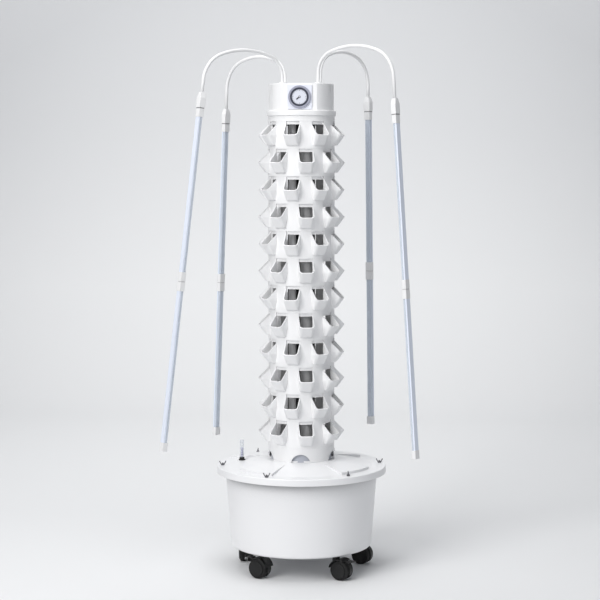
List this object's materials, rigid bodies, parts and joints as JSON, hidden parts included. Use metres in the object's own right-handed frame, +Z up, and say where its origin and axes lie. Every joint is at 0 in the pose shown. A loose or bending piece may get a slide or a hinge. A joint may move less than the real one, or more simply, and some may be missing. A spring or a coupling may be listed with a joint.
{
  "type": "hydroponic_tower",
  "caption": "White hydroponic tower: stacked planting tiers on a wheeled water tank, with a head timer and grow lights on goosenecks",
  "frame": {"origin": "on the floor under the tower's axis", "axes": "+Z up along the tower, -Y towards the timer's front, +X to the right seen from the front"},
  "size_m": [0.8145, 0.6455, 1.7175],
  "materials": {
    "white_plastic": "smooth moulded white",
    "tank_plastic": "smooth moulded white",
    "neck_white": "smooth white sleeve over a bendable core",
    "fitting_white": "smooth moulded white",
    "light_back": "satin extruded strip",
    "light_cover": "frosted clear plastic",
    "grey_pipe": "extruded grey pipe",
    "black_plastic": "fine-grained black",
    "wheel_black": "hard black tread",
    "black_rubber": "soft black",
    "clear_tube": "clear plastic",
    "float_blue": "smooth blue",
    "steel": "zinc plated",
    "timer_case": "pale grey case",
    "timer_white": "white dial",
    "timer_dark": "dark pin ring"
  },
  "bodies": {
    "stand": {"tier_01": "white_plastic", "tier_02": "white_plastic", "tier_03": "white_plastic", "tier_04": "white_plastic", "tier_05": "white_plastic", "tier_06": "white_plastic", "tier_07": "white_plastic", "tier_08": "white_plastic", "tier_09": "white_plastic", "tier_10": "white_plastic", "tier_11": "white_plastic", "tier_12": "white_plastic", "tower_base": "white_plastic", "top_collar": "white_plastic", "drip_plate": "white_plastic", "core_column": "grey_pipe", "riser_pipe": "grey_pipe", "cable_duct": "grey_pipe", "tank": "tank_plastic", "tank_lid": "tank_plastic", "lid_studs": "steel", "wing_nuts": "steel", "pump_body": "black_plastic", "gauge_grommet": "black_rubber", "gauge_tube": "clear_tube", "head_cap": "white_plastic", "timer_plate": "timer_case", "timer_face": "timer_white", "arm_bushings": "white_plastic"},
    "float": {"gauge_float": "float_blue"},
    "dial_ring": {"timer_ring": "timer_dark"},
    "dial_hand": {"timer_hand": "black_plastic"},
    "arm_1": {"light_1_gooseneck": "neck_white"},
    "lamp_1": {"light_1_fittings": "fitting_white", "light_1_backs": "light_back", "light_1_covers": "light_cover"},
    "arm_2": {"light_2_gooseneck": "neck_white"},
    "lamp_2": {"light_2_fittings": "fitting_white", "light_2_backs": "light_back", "light_2_covers": "light_cover"},
    "arm_3": {"light_3_gooseneck": "neck_white"},
    "lamp_3": {"light_3_fittings": "fitting_white", "light_3_backs": "light_back", "light_3_covers": "light_cover"},
    "arm_4": {"light_4_gooseneck": "neck_white"},
    "lamp_4": {"light_4_fittings": "fitting_white", "light_4_backs": "light_back", "light_4_covers": "light_cover"},
    "caster_1": {"caster_1_hood": "black_plastic"},
    "roller_1": {"caster_1_wheels": "wheel_black"},
    "pedal_1": {"caster_1_brake": "black_plastic"},
    "caster_2": {"caster_2_hood": "black_plastic"},
    "roller_2": {"caster_2_wheels": "wheel_black"},
    "caster_3": {"caster_3_hood": "black_plastic"},
    "roller_3": {"caster_3_wheels": "wheel_black"},
    "caster_4": {"caster_4_hood": "black_plastic"},
    "roller_4": {"caster_4_wheels": "wheel_black"},
    "caster_5": {"caster_5_hood": "black_plastic"},
    "roller_5": {"caster_5_wheels": "wheel_black"},
    "pedal_5": {"caster_5_brake": "black_plastic"}
  },
  "joints": [
    {"name": "float_rise", "type": "slide", "parent": "stand", "child": "float", "axis": [0, 0, 1], "range_m": [-0.034, 0.018]},
    {"name": "ring_turn", "type": "hinge", "parent": "stand", "child": "dial_ring", "pos_m": [0, -0.097, 1.5535], "axis": [0, -1, 0], "continuous": true},
    {"name": "hand_turn", "type": "hinge", "parent": "stand", "child": "dial_hand", "pos_m": [0, -0.099, 1.5535], "axis": [0, -1, 0], "continuous": true},
    {"name": "arm_1_swing", "type": "hinge", "parent": "stand", "child": "arm_1", "pos_m": [-0.058, -0.058, 1.598], "axis": [0, 0, 1], "range_deg": [-25, 25]},
    {"name": "lamp_1_bend", "type": "hinge", "parent": "arm_1", "child": "lamp_1", "pos_m": [-0.27476, -0.22493, 1.65142], "axis": [-0.6101, 0.7923, 0], "range_deg": [-4, 12], "deforming": ["light_1_gooseneck"]},
    {"name": "arm_2_swing", "type": "hinge", "parent": "stand", "child": "arm_2", "pos_m": [0.058, -0.058, 1.598], "axis": [0, 0, 1], "range_deg": [-25, 25]},
    {"name": "lamp_2_bend", "type": "hinge", "parent": "arm_2", "child": "lamp_2", "pos_m": [0.28493, -0.20594, 1.66261], "axis": [-0.5461, -0.8377, 0], "range_deg": [-4, 12], "deforming": ["light_2_gooseneck"]},
    {"name": "arm_3_swing", "type": "hinge", "parent": "stand", "child": "arm_3", "pos_m": [0.058, 0.058, 1.598], "axis": [0, 0, 1], "range_deg": [-25, 25]},
    {"name": "lamp_3_bend", "type": "hinge", "parent": "arm_3", "child": "lamp_3", "pos_m": [0.19923, 0.25527, 1.663], "axis": [0.8131, -0.5821, 0], "range_deg": [-4, 12], "deforming": ["light_3_gooseneck"]},
    {"name": "arm_4_swing", "type": "hinge", "parent": "stand", "child": "arm_4", "pos_m": [-0.058, 0.058, 1.598], "axis": [0, 0, 1], "range_deg": [-25, 25]},
    {"name": "lamp_4_bend", "type": "hinge", "parent": "arm_4", "child": "lamp_4", "pos_m": [-0.25466, 0.21612, 1.64727], "axis": [0.6266, 0.7793, 0], "range_deg": [-4, 12], "deforming": ["light_4_gooseneck"]},
    {"name": "caster_1_swivel", "type": "hinge", "parent": "stand", "child": "caster_1", "pos_m": [0.12272, -0.15154, 0.0795], "axis": [0, 0, 1], "continuous": true},
    {"name": "roller_1_spin", "type": "hinge", "parent": "caster_1", "child": "roller_1", "pos_m": [0.14108, -0.16172, 0.032], "axis": [0.4848, 0.8746, 0], "continuous": true},
    {"name": "pedal_1_press", "type": "hinge", "parent": "caster_1", "child": "pedal_1", "pos_m": [0.16524, -0.17511, 0.06162], "axis": [0.4848, 0.8746, 0], "range_deg": [0, 18]},
    {"name": "caster_2_swivel", "type": "hinge", "parent": "stand", "child": "caster_2", "pos_m": [0.18205, 0.06988, 0.0795], "axis": [0, 0, 1], "continuous": true},
    {"name": "roller_2_spin", "type": "hinge", "parent": "caster_2", "child": "roller_2", "pos_m": [0.20108, 0.06101, 0.032], "axis": [0.4226, 0.9063, 0], "continuous": true},
    {"name": "caster_3_swivel", "type": "hinge", "parent": "stand", "child": "caster_3", "pos_m": [-0.01021, 0.19473, 0.0795], "axis": [0, 0, 1], "continuous": true},
    {"name": "roller_3_spin", "type": "hinge", "parent": "caster_3", "child": "roller_3", "pos_m": [0.00816, 0.18455, 0.032], "axis": [0.4848, 0.8746, 0], "continuous": true},
    {"name": "caster_4_swivel", "type": "hinge", "parent": "stand", "child": "caster_4", "pos_m": [-0.18836, 0.05047, 0.0795], "axis": [0, 0, 1], "continuous": true},
    {"name": "roller_4_spin", "type": "hinge", "parent": "caster_4", "child": "roller_4", "pos_m": [-0.192, 0.07115, 0.032], "axis": [-0.9848, -0.1736, 0], "continuous": true},
    {"name": "caster_5_swivel", "type": "hinge", "parent": "stand", "child": "caster_5", "pos_m": [-0.1062, -0.16354, 0.0795], "axis": [0, 0, 1], "continuous": true},
    {"name": "roller_5_spin", "type": "hinge", "parent": "caster_5", "child": "roller_5", "pos_m": [-0.12457, -0.15336, 0.032], "axis": [-0.4848, -0.8746, 0], "continuous": true},
    {"name": "pedal_5_press", "type": "hinge", "parent": "caster_5", "child": "pedal_5", "pos_m": [-0.14873, -0.13997, 0.06162], "axis": [-0.4848, -0.8746, 0], "range_deg": [0, 18]}
  ],
  "couplings": [
    {"joint": "hand_turn", "follows": "ring_turn", "ratio": 2}
  ]
}
